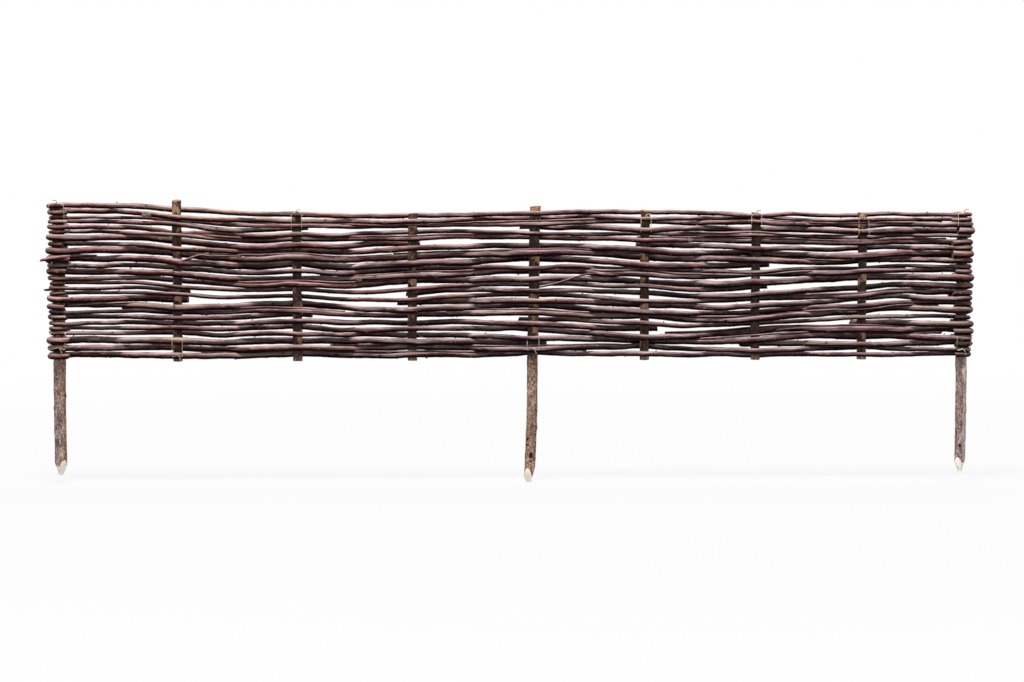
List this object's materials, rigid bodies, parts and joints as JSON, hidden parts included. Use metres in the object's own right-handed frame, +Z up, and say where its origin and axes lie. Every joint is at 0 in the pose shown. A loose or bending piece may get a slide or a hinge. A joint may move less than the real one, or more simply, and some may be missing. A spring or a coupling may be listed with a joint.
{
  "type": "woven willow hurdle",
  "caption": "Low woven willow panel for edging a bed: tapering rods woven round upright stakes, with pointed legs to push into the ground.",
  "frame": {"origin": "on the axis of the middle post at the ground line, just under the lowest rod", "axes": "+X along the panel to the right end post, front towards -Y, +Z up"},
  "size_m": [1.2105, 0.0358, 0.3702],
  "materials": {
    "rod_bark": "smooth dried bark, slight sheen",
    "stake_bark": "matt grey-brown bark",
    "tie_wire": "dull galvanised wire"
  },
  "bodies": {
    "root": {"left_end_post": "stake_bark", "middle_post": "stake_bark", "right_end_post": "stake_bark", "rod_01": "rod_bark", "rod_02": "rod_bark", "rod_03_left": "rod_bark", "rod_03_right": "rod_bark", "rod_04": "rod_bark", "rod_05": "rod_bark", "rod_06_left": "rod_bark", "rod_06_right": "rod_bark", "rod_07_left": "rod_bark", "rod_07_right": "rod_bark", "rod_08": "rod_bark", "rod_09": "rod_bark", "rod_10_left": "rod_bark", "rod_10_right": "rod_bark", "rod_11": "rod_bark", "rod_12_left": "rod_bark", "rod_12_right": "rod_bark", "rod_13": "rod_bark", "rod_14": "rod_bark", "rod_15": "rod_bark", "rod_16": "rod_bark", "rod_17": "rod_bark", "rod_18": "rod_bark", "rod_19": "rod_bark", "rod_20_left": "rod_bark", "rod_20_right": "rod_bark", "rod_21": "rod_bark", "rod_22": "rod_bark", "rod_23_left": "rod_bark", "rod_23_right": "rod_bark", "rod_24": "rod_bark", "rod_25": "rod_bark", "rod_26": "rod_bark", "upright_1": "stake_bark", "upright_2": "stake_bark", "upright_3": "stake_bark", "upright_4": "stake_bark", "upright_5": "stake_bark", "upright_6": "stake_bark"}
  },
  "joints": []
}
